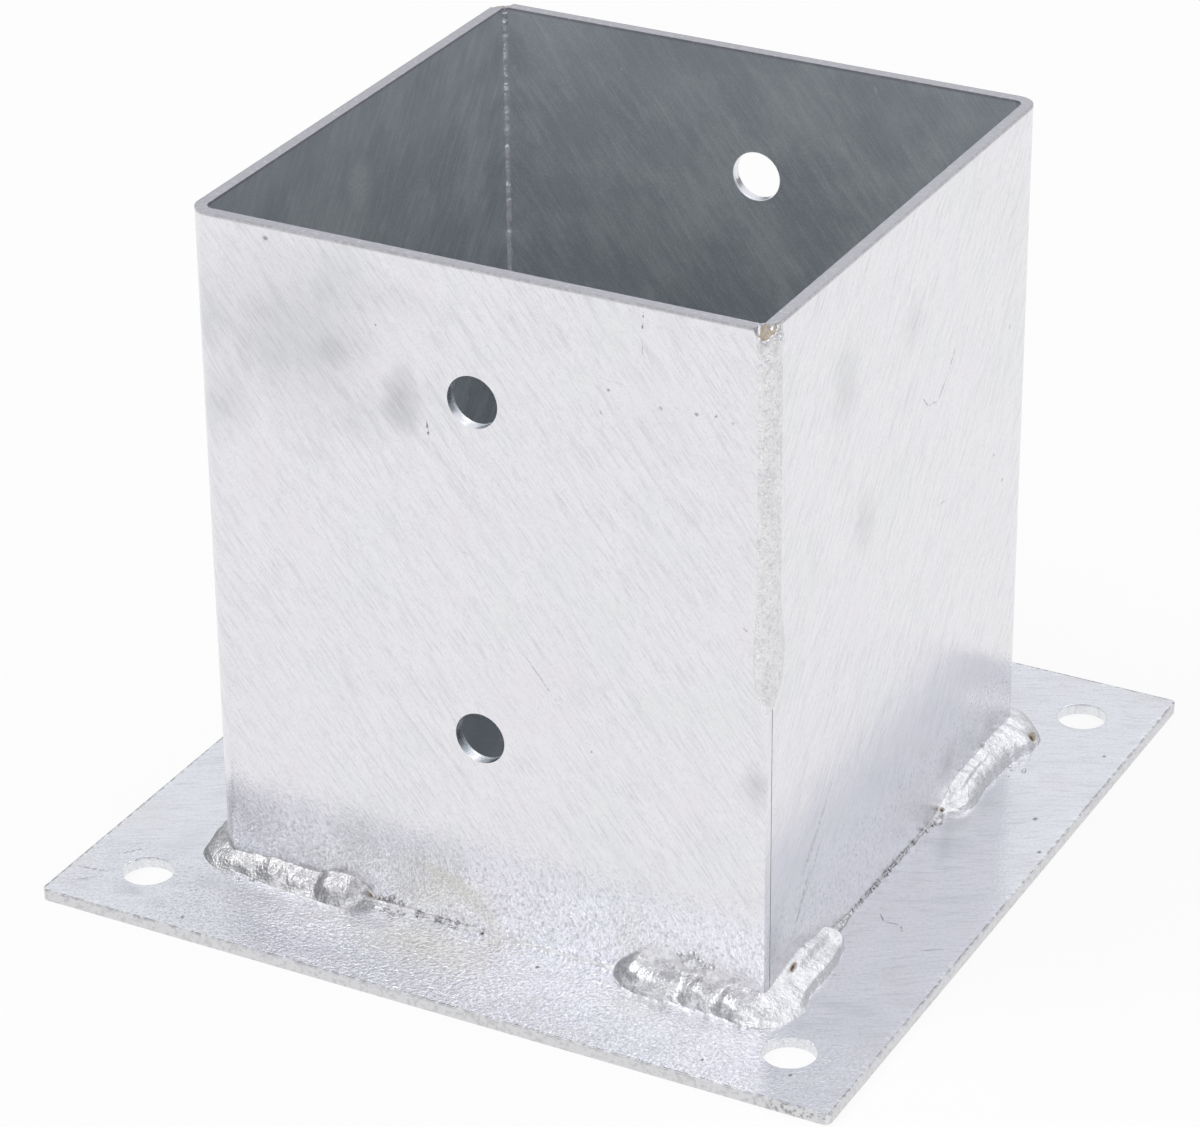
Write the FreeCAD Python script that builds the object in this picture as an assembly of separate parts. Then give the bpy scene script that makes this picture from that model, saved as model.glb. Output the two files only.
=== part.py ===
import FreeCAD, Part
import math
import os

# Post base plate: a square socket of two folded sheet halves, welded together at two opposite corners
# and welded onto a thin square plate with four anchor holes. Sizes are in millimetres. The origin is
# under the middle of the plate, +Z is up, and the wall with the bolt holes nearest the viewer faces -Y.

# Sleeve
post_width = 120.0              # square timber post that the sleeve takes
post_play = 1.0                 # room left beside the post, both sides together
sheet_thickness = 2.5
sleeve_height = 147.5
bend_inner_radius = 2.0
seam_gap = 0.4                  # between one half's edge and the other half's inner face

# Bolt holes through the front and back walls
post_hole_diameter = 11.0
upper_hole_below_rim = 28.0
lower_hole_above_plate = 45.5

# Plate
plate_thickness = 2.5
plate_flange = 27.0             # how far the plate stands out past each wall
plate_corner_radius = 1.5
anchor_hole_diameter = 11.0
anchor_edge_distance = 16.0     # hole centre to both plate edges

# Seam welds, down from the rim at two opposite corners
seam_weld_length = 80.5
seam_leg_lapping = 2.6          # from the corner along the wall whose edge shows
seam_leg_butting = 6.0          # from the corner along the other wall
seam_root_depth = 1.8           # how deep the sheets are melted away along the joint
seam_crown = 1.3                # how far its face swells past a straight line from toe to toe
seam_root_bead = 0.6            # weld metal that stands out inside the sleeve
seam_end_rounding = 0.8
crater_radius = 5.0             # dished end of the weld at the rim
crater_depth = 1.2

# Corner welds between sleeve and plate: how far each runs along its walls
run_front_left = 38.0
run_front_right = 33.5
run_right_front = 34.0
run_right_back = 42.0
run_back = 34.0
run_left = 33.0

# Corner welds: how far they reach over the plate and climb the walls
front_reach = 5.6
front_rise = 4.4
side_reach = 5.4
side_rise = 4.8
lobe_length = 8.5               # from a thick place of the bead to the next thin one
lobe_swell = 0.14               # how much the bead swells and shrinks, as a share of its size
crown_share = 0.62              # 0.5 would be a flat weld face, more is a rounder one
nose_length = 4.0               # rounded end of the bead
corner_fullness = 1.1           # extra metal where the bead turns the corner
trim_share = 0.25               # metal trimmed off under the bead, as a share of its smaller leg
section_spacing = 2.2

# Sizes that follow from these
half_inner = (post_width + post_play) / 2
half_outer = half_inner + sheet_thickness
bend_outer_radius = bend_inner_radius + sheet_thickness
bend_centre = half_outer - bend_outer_radius
half_plate = half_outer + plate_flange
anchor_offset = half_plate - anchor_edge_distance
rim_height = plate_thickness + sleeve_height
upper_hole_height = rim_height - upper_hole_below_rim
lower_hole_height = plate_thickness + lower_hole_above_plate
seam_weld_bottom = rim_height - seam_weld_length
slant = math.sqrt(0.5)          # run along x or y of a unit step at 45 degrees
up = FreeCAD.Vector(0, 0, 1)


def point(x, y, z=0.0):
    return FreeCAD.Vector(x, y, z)


def line(start, end):
    return Part.makeLine(start, end)


def arc(start, middle, end):
    return Part.Arc(start, middle, end).toShape()


def prism(edges, bottom, height):
    face = Part.Face(Part.Wire(edges))
    face.translate(up * bottom)
    return face.extrude(up * height)


def half_turn(shape):
    turned = shape.copy()
    turned.rotate(point(0, 0), up, 180)
    return turned


# Plate with a hole near each corner
def base_plate():
    plate = Part.makeBox(2 * half_plate, 2 * half_plate, plate_thickness, point(-half_plate, -half_plate))
    uprights = [edge for edge in plate.Edges if abs(edge.BoundBox.ZLength - plate_thickness) < 1e-6]
    plate = plate.makeFillet(plate_corner_radius, uprights)
    for side_x in (-1, 1):
        for side_y in (-1, 1):
            centre = point(side_x * anchor_offset, side_y * anchor_offset)
            plate = plate.cut(Part.makeCylinder(anchor_hole_diameter / 2, plate_thickness, centre, up))
    return plate


# Left and front walls, folded from one sheet. The front wall runs to the outer corner and laps the
# edge of the other half, and the left wall stops short of the back wall by the seam gap.
def folded_sheet():
    left_end = half_inner - seam_gap
    outer_bend = arc(
        point(-half_outer, -bend_centre),
        point(-bend_centre - slant * bend_outer_radius, -bend_centre - slant * bend_outer_radius),
        point(-bend_centre, -half_outer),
    )
    inner_bend = arc(
        point(-bend_centre, -half_inner),
        point(-bend_centre - slant * bend_inner_radius, -bend_centre - slant * bend_inner_radius),
        point(-half_inner, -bend_centre),
    )
    outline = [
        line(point(-half_outer, left_end), point(-half_outer, -bend_centre)),
        outer_bend,
        line(point(-bend_centre, -half_outer), point(half_outer, -half_outer)),
        line(point(half_outer, -half_outer), point(half_outer, -half_inner)),
        line(point(half_outer, -half_inner), point(-bend_centre, -half_inner)),
        inner_bend,
        line(point(-half_inner, -bend_centre), point(-half_inner, left_end)),
        line(point(-half_inner, left_end), point(-half_outer, left_end)),
    ]
    sheet = prism(outline, plate_thickness, sleeve_height)
    for height in (lower_hole_height, upper_hole_height):
        start = point(0, -half_outer, height)
        sheet = sheet.cut(Part.makeCylinder(post_hole_diameter / 2, sheet_thickness, start, point(0, 1, 0)))
    return sheet


# Places on the section of the front seam, from the toe on the lapping wall to the toe on the other
def seam_places():
    root_x = half_outer - seam_root_depth
    return {
        "lapping_toe": point(half_outer - seam_leg_lapping, -half_outer),
        "butting_toe": point(half_outer, -half_outer + seam_leg_butting),
        "lapping_root": point(root_x, -half_inner),
        "butting_root": point(root_x, -half_inner + seam_gap),
    }


# Sheet that the seam weld melts away at the outer corner
def seam_groove():
    places = seam_places()
    clear = half_outer + sheet_thickness
    corners = [
        places["lapping_toe"],
        places["lapping_root"],
        places["butting_root"],
        places["butting_toe"],
        point(clear, places["butting_toe"].y),
        point(clear, -clear),
        point(places["lapping_toe"].x, -clear),
    ]
    edges = [line(corners[i - 1], corners[i]) for i in range(len(corners))]
    return prism(edges, seam_weld_bottom, seam_weld_length)


# Seam weld: a swollen face outside, a neck through the gap and a small root bead inside
def seam_weld():
    places = seam_places()
    toe_a = places["lapping_toe"]
    toe_b = places["butting_toe"]
    chord = toe_b - toe_a
    crown = (toe_a + toe_b) * 0.5 + point(chord.y, -chord.x).normalize() * seam_crown
    root_a = point(half_inner - seam_root_bead, -half_inner)
    root_b = point(half_inner, -half_inner + seam_gap + seam_root_bead)
    root_middle = point(
        half_inner - slant * seam_root_bead,
        -half_inner + slant * (seam_gap + seam_root_bead),
    )
    neck = point(half_inner, -half_inner + seam_gap)
    edges = [
        arc(toe_a, crown, toe_b),
        line(toe_b, places["butting_root"]),
        line(places["butting_root"], neck),
        line(neck, root_b),
        arc(root_b, root_middle, root_a),
        line(root_a, places["lapping_root"]),
        line(places["lapping_root"], toe_a),
    ]
    weld = prism(edges, seam_weld_bottom, seam_weld_length)
    tip = [edge for edge in weld.Edges if is_lower_crown(edge, crown)]
    weld = weld.makeFillet(seam_end_rounding, tip)
    crater_centre = point(half_outer, -half_outer, rim_height + crater_radius - crater_depth)
    return weld.cut(Part.makeSphere(crater_radius, crater_centre))


# The curved edge at the lower end of the seam weld's outer face
def is_lower_crown(edge, crown):
    lowest = edge.BoundBox.ZMax < seam_weld_bottom + 1e-6
    middle = edge.valueAt((edge.FirstParameter + edge.LastParameter) / 2)
    near = math.hypot(middle.x - crown.x, middle.y - crown.y) < 0.01
    return lowest and near


# One section of a corner weld, in the upright plane through the pivot along a direction: a round
# face through its two toes and its crown, carried on into the wall and the plate, and closed there
def bead_section(foot, direction, seat, reach, rise):
    def place(out, height):
        return foot + direction * (seat + out) + up * (plate_thickness + height)

    crown_out = crown_share * reach
    crown_up = crown_share * rise
    trim = trim_share * min(reach, rise)
    face = Part.Circle(point(reach, 0), point(crown_out, crown_up), point(0, rise))
    under_toe = place(face.Center.x + math.sqrt(face.Radius ** 2 - (trim + face.Center.y) ** 2), -trim)
    in_wall = place(-trim, face.Center.y + math.sqrt(face.Radius ** 2 - (trim + face.Center.x) ** 2))
    root = place(-trim, -trim)
    edges = [
        arc(under_toe, place(crown_out, crown_up), in_wall),
        line(in_wall, root),
        line(root, under_toe),
    ]
    return Part.Wire(edges)


# Places along one leg of a corner weld, counted away from the corner, with the bead's size at each:
# it swells and shrinks along the run and ends in a round nose
def leg_sizes(run, reach, rise, phase):
    straight = run - nose_length
    count = math.ceil(straight / section_spacing)
    shares = [(straight * step / count, 1.0) for step in range(1, count + 1)]
    for degrees in (25, 50, 70):
        angle = math.radians(degrees)
        shares.append((straight + nose_length * math.sin(angle), math.cos(angle)))
    sizes = []
    for away, share in shares:
        size = share * (1 + lobe_swell * math.cos(math.pi * away / lobe_length + phase))
        sizes.append((away, reach * size, rise * size))
    return sizes


# Bead round one corner of the sleeve. The first leg runs along the wall before the corner and the
# second along the wall after it, going anticlockwise seen from above.
def corner_bead(turn, pivot_distance, first_leg, second_leg):
    first_run, first_reach, first_rise = first_leg
    second_run, second_reach, second_rise = second_leg
    pivot = half_outer - pivot_distance
    sharp = pivot_distance < bend_outer_radius
    sections = []
    for away, reach, rise in reversed(leg_sizes(first_run - pivot_distance, first_reach, first_rise, math.pi)):
        sections.append(bead_section(point(pivot - away, -pivot), point(0, -1), pivot_distance, reach, rise))
    fan_steps = 6
    for step in range(fan_steps + 1):
        share = step / fan_steps
        angle = share * math.pi / 2
        direction = point(math.sin(angle), -math.cos(angle))
        stretch = 1 / max(direction.x, -direction.y) if sharp else 1.0
        fullness = 1 + (corner_fullness - 1) * math.sin(2 * angle)
        reach = (first_reach + (second_reach - first_reach) * share) * fullness
        rise = (first_rise + (second_rise - first_rise) * share) * fullness
        sections.append(bead_section(point(pivot, -pivot), direction, pivot_distance * stretch, reach, rise))
    for away, reach, rise in leg_sizes(second_run - pivot_distance, second_reach, second_rise, 0.0):
        sections.append(bead_section(point(pivot, -pivot + away), point(1, 0), pivot_distance, reach, rise))
    bead = Part.makeLoft(sections, True, True)
    bead.rotate(point(0, 0), up, turn)
    return bead


# Outline of the closed sleeve: round at the two folded corners, sharp at the two joined ones
def sleeve_outline():
    edges = []
    for way in (1, -1):
        bend_middle = -way * (bend_centre + slant * bend_outer_radius)
        edges += [
            line(point(-way * half_outer, way * half_outer), point(-way * half_outer, -way * bend_centre)),
            arc(
                point(-way * half_outer, -way * bend_centre),
                point(bend_middle, bend_middle),
                point(-way * bend_centre, -way * half_outer),
            ),
            line(point(-way * bend_centre, -way * half_outer), point(way * half_outer, -way * half_outer)),
        ]
    return edges


# Space that plate and sleeve fill, which no corner weld may enter
def keep_out():
    slab = Part.makeBox(2 * half_plate, 2 * half_plate, plate_thickness, point(-half_plate, -half_plate))
    return slab.fuse(prism(sleeve_outline(), 0, rim_height))


# Corner weld trimmed to seat face to face on the sheets and the plate
def corner_weld(turn, pivot_distance, first_leg, second_leg):
    return corner_bead(turn, pivot_distance, first_leg, second_leg).cut(keep_out())


def build():
    sheet = folded_sheet().cut(seam_groove()).cut(half_turn(seam_groove()))
    seam = seam_weld()
    seam_pivot = sheet_thickness
    return {
        "base_plate": base_plate(),
        "sleeve_half_front": sheet,
        "sleeve_half_back": half_turn(sheet),
        "seam_weld_front": seam,
        "seam_weld_back": half_turn(seam),
        "corner_weld_front_left": corner_weld(
            -90, bend_outer_radius, (run_left, side_reach, side_rise),
            (run_front_left, front_reach, front_rise)),
        "corner_weld_front_right": corner_weld(
            0, seam_pivot, (run_front_right, front_reach, front_rise),
            (run_right_front, side_reach, side_rise)),
        "corner_weld_back_right": corner_weld(
            90, bend_outer_radius, (run_right_back, side_reach, side_rise),
            (run_back, front_reach, front_rise)),
        "corner_weld_back_left": corner_weld(
            180, seam_pivot, (run_back, front_reach, front_rise),
            (run_left, side_reach, side_rise)),
    }


os.makedirs("parts", exist_ok=True)
for name, shape in build().items():
    print(name, "valid", shape.isValid(), "solids", len(shape.Solids), "volume", round(shape.Volume, 1))
    shape.exportStep("parts/" + name + ".step")
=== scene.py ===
import bisect
import math
import random

import bmesh
import bpy
from mathutils import Matrix, Vector, noise


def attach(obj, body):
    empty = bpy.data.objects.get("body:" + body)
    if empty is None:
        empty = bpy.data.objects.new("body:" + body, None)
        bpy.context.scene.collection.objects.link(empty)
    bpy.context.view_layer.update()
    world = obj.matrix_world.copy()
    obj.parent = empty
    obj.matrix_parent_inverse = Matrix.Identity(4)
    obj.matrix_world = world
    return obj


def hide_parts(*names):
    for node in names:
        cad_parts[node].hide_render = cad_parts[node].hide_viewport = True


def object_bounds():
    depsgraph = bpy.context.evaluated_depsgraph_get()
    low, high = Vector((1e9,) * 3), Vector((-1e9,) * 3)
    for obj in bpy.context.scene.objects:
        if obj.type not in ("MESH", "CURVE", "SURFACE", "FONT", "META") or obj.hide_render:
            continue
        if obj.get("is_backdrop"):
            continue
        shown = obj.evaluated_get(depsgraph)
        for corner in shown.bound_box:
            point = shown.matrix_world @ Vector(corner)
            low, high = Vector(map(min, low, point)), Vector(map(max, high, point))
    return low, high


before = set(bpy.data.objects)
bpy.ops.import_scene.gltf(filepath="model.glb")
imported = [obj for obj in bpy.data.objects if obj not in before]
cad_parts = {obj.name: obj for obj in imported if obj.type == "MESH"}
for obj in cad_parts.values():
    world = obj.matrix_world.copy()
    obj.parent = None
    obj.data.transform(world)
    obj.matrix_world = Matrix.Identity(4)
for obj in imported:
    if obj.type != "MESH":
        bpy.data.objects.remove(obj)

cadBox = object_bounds()
print("frame loaded:", ", ".join(sorted(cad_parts)))

mm = 0.001
up = Vector((0, 0, 1))

# sizes that every piece shares, in millimetres
post = {
    "plateHalf": 90.0,
    "plateThick": 2.5,
    "sleeveHalf": 63.0,
    "sheetThick": 2.5,
    "bendRadius": 4.5,      # outside of the folded corners
    "rimHeight": 150.0,
}


def finishPiece(bm, name, material, smoothAngle=35, replaced=()):
    for vert in bm.verts:
        vert.co *= mm
    mesh = bpy.data.meshes.new(name)
    bm.to_mesh(mesh)
    bm.free()
    for face in mesh.polygons:
        face.use_smooth = True
    mesh.set_sharp_from_angle(angle=math.radians(smoothAngle))
    mesh.materials.append(material)
    piece = bpy.data.objects.new(name, mesh)
    bpy.context.scene.collection.objects.link(piece)
    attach(piece, "root")
    if replaced:
        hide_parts(*replaced)
    print("made", name, len(mesh.polygons), "faces")
    return piece


# cuts the shapes of several closed meshes out of another
def cutAway(bm, cutters):
    holders = []
    for part in [bm] + cutters:
        mesh = bpy.data.meshes.new("cutting")
        part.to_mesh(mesh)
        part.free()
        holder = bpy.data.objects.new("cutting", mesh)
        bpy.context.scene.collection.objects.link(holder)
        holders.append(holder)
    for cutter in holders[1:]:
        cut = holders[0].modifiers.new("cut", "BOOLEAN")
        cut.operation = "DIFFERENCE"
        cut.solver = "EXACT"
        cut.object = cutter
    graph = bpy.context.evaluated_depsgraph_get()
    result = bmesh.new()
    result.from_object(holders[0], graph)
    for holder in holders:
        mesh = holder.data
        bpy.data.objects.remove(holder)
        bpy.data.meshes.remove(mesh)
    return result


def roundEdges(bm, width, segments, angle=30):
    sharp = [e for e in bm.edges if len(e.link_faces) == 2 and e.calc_face_angle() > math.radians(angle)]
    bmesh.ops.bevel(bm, geom=sharp, offset=width, segments=segments, profile=0.5, affect="EDGES",
                    offset_type="OFFSET", material=-1, clamp_overlap=True)


def roundBar(radius, start, end, segments=96):
    bar = bmesh.new()
    axis = Vector(end) - Vector(start)
    middle = Matrix.Translation((Vector(start) + Vector(end)) / 2)
    lean = up.rotation_difference(axis).to_matrix().to_4x4()
    bmesh.ops.create_cone(bar, cap_ends=True, segments=segments, radius1=radius, radius2=radius,
                          depth=axis.length, matrix=middle @ lean)
    return bar


def turnAbout(bm, degrees, verts=None):
    bmesh.ops.rotate(bm, verts=verts or bm.verts[:], cent=(0, 0, 0),
                     matrix=Matrix.Rotation(math.radians(degrees), 3, "Z"))


def softStep(low, high, value):
    share = min(max((value - low) / (high - low), 0.0), 1.0)
    return share * share * (3 - 2 * share)


# one output of a node, so that shader maths is written as plain arithmetic
class Wire:
    def __init__(self, paint, socket):
        self.paint = paint
        self.socket = socket

    def maths(self, operation, first, second):
        return self.paint.add("ShaderNodeMath", {"operation": operation}, {0: first, 1: second})

    def __add__(self, other):
        return self.maths("ADD", self, other)

    def __sub__(self, other):
        return self.maths("SUBTRACT", self, other)

    def __rsub__(self, other):
        return self.maths("SUBTRACT", other, self)

    def __mul__(self, other):
        return self.maths("MULTIPLY", self, other)

    def __truediv__(self, other):
        return self.maths("DIVIDE", self, other)

    __radd__ = __add__
    __rmul__ = __mul__


class Paint:
    def __init__(self, tree):
        self.tree = tree
        tree.nodes.clear()

    # makes a node: its type, its settings, then what goes into its sockets, and which output comes back
    def add(self, kind, settings=None, inputs=None, output=0):
        node = self.tree.nodes.new(kind)
        for name, value in (settings or {}).items():
            if name == "stops":
                self.setStops(node.color_ramp, value)
            else:
                setattr(node, name, value)
        for key, value in (inputs or {}).items():
            if isinstance(value, Wire):
                self.tree.links.new(value.socket, node.inputs[key])
            else:
                node.inputs[key].default_value = value
        return Wire(self, node.outputs[output]) if len(node.outputs) else node

    def setStops(self, ramp, stops):
        while len(ramp.elements) < len(stops):
            ramp.elements.new(1.0)
        for element, (place, colour) in zip(ramp.elements, stops):
            element.position = place
            element.color = colour

    # place on the piece in millimetres
    def places(self):
        coords = self.add("ShaderNodeTexCoord", output="Object")
        self.spot = self.add("ShaderNodeVectorMath", {"operation": "SCALE"}, {0: coords, "Scale": 1000.0})
        return [self.add("ShaderNodeSeparateXYZ", inputs={0: self.spot}, output=i) for i in range(3)]

    def vector(self, x, y, z):
        return self.add("ShaderNodeCombineXYZ", inputs={0: x, 1: y, 2: z})

    def grain(self, where, scale, detail=2.0, roughness=0.5):
        return self.add("ShaderNodeTexNoise", {"noise_dimensions": "3D"}, {
            "Vector": where, "Scale": scale, "Detail": detail, "Roughness": roughness})

    # 0 at low, 1 at high, smooth between; low may be the larger number
    def rise(self, value, low, high):
        return self.add("ShaderNodeMapRange", {"interpolation_type": "SMOOTHSTEP", "clamp": True}, {
            "Value": value, "From Min": low, "From Max": high, "To Min": 0.0, "To Max": 1.0})

    def mix(self, share, first, second):
        return self.add("ShaderNodeMix", {"data_type": "RGBA", "clamp_factor": True},
                        {0: share, 6: first, 7: second}, output=2)

    def either(self, first, second):
        return self.add("ShaderNodeMath", {"operation": "MAXIMUM"}, {0: first, 1: second})

    def size(self, value):
        return self.add("ShaderNodeMath", {"operation": "ABSOLUTE"}, {0: value})

    def span(self, operation, *values):
        return self.add("ShaderNodeVectorMath", {"operation": operation}, dict(enumerate(values)))

    # oval patches on one flat side: 1 inside and 0 outside, each with its own strength; the side is given
    # by the axis across it and where it lies, and noise can make the edges ragged
    def patches(self, side, listed, edge=0.9, ragged=None):
        axis, level = side
        joined = None
        for centre, radii, strength in listed:
            scale = list(radii)
            place = list(centre)
            scale.insert(axis, 2.0)
            place.insert(axis, level)
            shares = self.span("MULTIPLY_ADD", self.spot, [1 / s for s in scale],
                               [-p / s for p, s in zip(place, scale)])
            away = self.add("ShaderNodeVectorMath", {"operation": "LENGTH"}, {0: shares}, output=1)
            if ragged is not None:
                away = away + ragged
            patch = self.step(away, 1.0, 1.0 - edge, strength)
            joined = patch if joined is None else self.either(joined, patch)
        return joined

    # thin scratches through listed points, each with its own half width and strength
    def scratches(self, side, listed):
        axis, level = side
        joined = None
        for points, width, strength in listed:
            for first, second in zip(points, points[1:]):
                middle = [(p + q) / 2 for p, q in zip(first, second)]
                run = [q - p for p, q in zip(first, second)]
                half = (run[0] ** 2 + run[1] ** 2) ** 0.5 / 2
                lengthways = [r / (2 * half * half * 1.1) for r in run]
                crossways = [-run[1] / (2 * half * width), run[0] / (2 * half * width)]
                middle.insert(axis, level)
                lengthways.insert(axis, 0.0)
                crossways.insert(axis, 0.0)
                off = self.span("SUBTRACT", self.spot, middle)
                shares = [
                    self.add("ShaderNodeVectorMath", {"operation": "DOT_PRODUCT"}, {0: off, 1: way}, output=1)
                    for way in (lengthways, crossways)]
                away = shares[0] * shares[0] + shares[1] * shares[1]
                line = self.step(away, 1.0, 0.2, strength)
                joined = line if joined is None else self.either(joined, line)
        return joined

    # strength at high, 0 at low, straight between
    def step(self, value, low, high, strength):
        return self.add("ShaderNodeMapRange", {"clamp": True}, {
            "Value": value, "From Min": low, "From Max": high, "To Min": 0.0, "To Max": strength})

    # relief from a height in millimetres
    def bump(self, height):
        return self.add("ShaderNodeBump", inputs={"Height": height, "Strength": 1.0, "Distance": 0.001})

    def metal(self, colour, roughness, normal, metallic=1.0):
        return self.add("ShaderNodeBsdfPrincipled", inputs={
            "Base Color": colour, "Roughness": roughness, "Metallic": metallic, "Normal": normal})

    def layer(self, share, first, second):
        return self.add("ShaderNodeMixShader", inputs={0: share, 1: first, 2: second})

    def finish(self, surface):
        self.add("ShaderNodeOutputMaterial", inputs={"Surface": surface})


def newMaterial(name):
    material = bpy.data.materials.new(name)
    material.use_nodes = True
    return material, Paint(material.node_tree)


# galvanised sheet of the sleeve: fine slanting streaks, stains, scratches and a grainy foot
sheetLook = {
    "bright": (0.83, 0.825, 0.855, 1),
    "dull": (0.52, 0.52, 0.56, 1),
    "stain": (0.47, 0.475, 0.50, 1),
    "rosy": (0.80, 0.77, 0.805, 1),
    "greenish": (0.765, 0.795, 0.795, 1),
    # painted shade: the colour of the inner faces, darker and bluer than the outside
    "inside": (0.67, 0.71, 0.745, 1),
    "insidePale": (0.98, 1.0, 1.0, 1),
    "rim": (0.55, 0.545, 0.57, 1),
    "rimPale": (0.80, 0.79, 0.83, 1),
    "sparkle": (0.97, 0.97, 0.98, 1),
    "dark": (0.22, 0.215, 0.225, 1),
    "straw": (0.66, 0.645, 0.575, 1),
    "streakAngle": 52.0,    # how steeply the streaks run down
    # stains: centre, radii and strength, across and up each wall; on the front, the large soft ones near the
    # top are stains and also painted shade that darkens the top of the wall
    "frontStainsAndTopShade": [
        ((-46.0, 131.0), (17.0, 11.0), 0.5), ((-31.0, 127.0), (8.0, 9.0), 0.75),
        ((-16.0, 120.0), (6.0, 10.0), 1.0), ((-55.0, 112.0), (10.0, 12.0), 0.5),
        ((-40.0, 128.0), (34.0, 26.0), 0.5),
        ((-58.0, 16.0), (26.0, 9.0), 0.6), ((-20.0, 17.0), (30.0, 7.0), 0.35),
        ((61.0, 53.0), (4.0, 7.0), 0.55), ((-20.0, 140.0), (20.0, 6.0), 0.3)],
    "rightStains": [
        ((-30.0, 125.0), (7.0, 10.0), 0.35), ((-20.0, 91.0), (6.0, 9.0), 0.4),
        ((2.0, 125.0), (5.0, 8.0), 0.3),
        ((25.0, 13.0), (6.0, 6.0), 0.5), ((48.0, 11.0), (5.0, 5.0), 0.5), ((-59.0, 14.0), (5.0, 11.0), 0.6)],
    # scratches: points, half width and strength
    "frontScratches": [
        ([(-10.2, 116.0), (-9.8, 112.0)], 0.3, 1.0), ([(10.0, 70.0), (19.0, 59.0)], 0.22, 0.5),
        ([(37.0, 149.0), (36.6, 143.5)], 0.22, 0.9),
        ([(17.0, 133.4), (26.0, 133.2), (35.0, 132.6)], 0.15, 0.15),
        ([(36.6, 142.8), (36.8, 139.5)], 0.18, 0.5)],
    "rightScratches": [
        ([(23.0, 111.0), (20.0, 107.0), (15.0, 102.5), (10.0, 103.5), (7.0, 106.5)], 0.3, 0.6),
        ([(14.0, 78.5), (22.0, 77.5)], 0.25, 0.35), ([(-33.0, 38.0), (-48.0, 22.0)], 0.9, 0.3),
        ([(-42.0, 25.0), (-50.0, 12.0)], 0.8, 0.35), ([(-36.0, 30.0), (-46.0, 17.0)], 0.5, 0.3)],
    "frontSpecks": [
        (29.5, 131.0, 0.5), (28.0, 126.0, 0.5), (40.5, 129.5, 0.6), (44.0, 130.5, 0.5), (48.0, 130.0, 0.6),
        (52.0, 130.5, 0.5), (55.5, 129.8, 0.5), (51.0, 82.5, 0.5), (25.0, 51.5, 0.4), (-45.0, 147.2, 0.9),
        (58.5, 87.0, 0.7), (-21.0, 134.0, 0.4)],
    "rightSpecks": [
        (60.0, 107.0, 0.7), (51.0, 104.0, 0.6), (50.0, 69.0, 0.6), (45.0, 77.0, 0.5), (-35.0, 60.0, 0.5)],
    "straws": [((-12.0, 8.0), (22.0, 14.0), 0.8), ((-40.0, 10.0), (16.0, 8.0), 0.5),
               ((34.0, 10.0), (9.0, 8.0), 0.6), ((50.0, 9.0), (16.0, 7.0), 0.5)],
    "arc": [((-16.0, -2.0), (23.0, 19.0), 1.0), ((-17.0, -2.5), (21.0, 17.5), 1.0)],
    # pale marks inside, on the left wall and on the back wall
    "insideLeft": [
        ((-3.0, 131.0), (6.5, 11.0), 0.75), ((25.0, 137.0), (9.0, 9.0), 0.3),
        ((-16.0, 144.0), (7.0, 6.0), 0.3)],
    "insideBack": [
        ((-20.0, 138.0), (10.0, 7.0), 0.5), ((-20.0, 122.0), (8.0, 8.0), 0.4),
        ((3.0, 108.0), (9.0, 8.0), 0.55),
        ((32.0, 141.0), (4.0, 8.0), 0.5), ((-44.0, 118.0), (12.0, 20.0), 0.35)],
    "insideScratches": [
        ([(27.0, 147.5), (27.6, 145.6)], 0.3, 1.0), ([(-58.2, 137.0), (-58.2, 136.2)], 0.5, 1.0),
        ([(-32.0, 141.0), (-32.4, 140.4)], 0.4, 0.9), ([(0.0, 139.5), (0.4, 139.5)], 0.45, 1.0)],
}


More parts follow.
